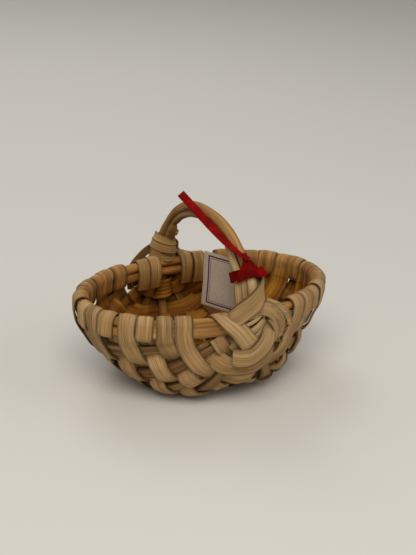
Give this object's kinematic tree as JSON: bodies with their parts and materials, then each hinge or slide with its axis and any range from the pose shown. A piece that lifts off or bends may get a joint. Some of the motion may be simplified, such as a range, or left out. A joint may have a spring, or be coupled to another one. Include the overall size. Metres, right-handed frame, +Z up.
{
  "type": "buttocks basket",
  "caption": "Small two-lobed splint basket with a bent hoop handle, and a folded card tag that swings on a red ribbon.",
  "frame": {"origin": "on the surface that the two lobes stand on, midway between the ears and the ends of the rim", "axes": "+X along the long axis of the basket, +Y from the tagged ear of the handle to the other, +Z up"},
  "size_m": [0.1362, 0.0986, 0.0925],
  "materials": {
    "rod_wood": "thin bark, dull",
    "rib_wood": "raw split wood",
    "splint": "raw split wood",
    "ribbon": "woven satin",
    "card": "matt card"
  },
  "bodies": {
    "basket": {"handle_hoop": "rod_wood", "handle_lap": "rod_wood", "rim_hoop_upper": "rod_wood", "rim_hoop_lower": "rod_wood", "rib_left_1": "rib_wood", "rib_right_1": "rib_wood", "rib_left_2": "rib_wood", "rib_right_2": "rib_wood", "rib_left_3": "rib_wood", "rib_right_3": "rib_wood", "rib_left_4": "rib_wood", "rib_right_4": "rib_wood", "rib_left_5": "rib_wood", "rib_right_5": "rib_wood", "weaver_01": "splint", "weaver_02": "splint", "weaver_03": "splint", "weaver_04": "splint", "weaver_05": "splint", "weaver_06": "splint", "weaver_07": "splint", "weaver_08": "splint", "weaver_09": "splint", "weaver_10": "splint", "weaver_11": "splint", "weaver_12": "splint", "weaver_13": "splint", "weaver_14": "splint", "weaver_15": "splint", "near_lash_rising_high": "splint", "near_lash_falling_low": "splint", "near_lash_rising_low": "splint", "near_lash_falling_high": "splint", "near_spine_wrap": "splint", "near_foot_wrap": "splint", "far_lash_rising_high": "splint", "far_lash_falling_low": "splint", "far_lash_rising_low": "splint", "far_lash_falling_high": "splint", "far_spine_wrap": "splint", "far_foot_wrap": "splint", "ribbon_loop": "ribbon", "ribbon_knot": "ribbon", "ribbon_long_tail": "ribbon", "ribbon_short_tail": "ribbon", "ribbon_eye": "ribbon"},
    "tag": {"tag": "card"}
  },
  "joints": [
    {"name": "tag_swing", "type": "hinge", "parent": "basket", "child": "tag", "pos_m": [0.00473, -0.02942, 0.0662], "axis": [0.4695, -0.8829, 0], "range_deg": [-12, 28]}
  ]
}
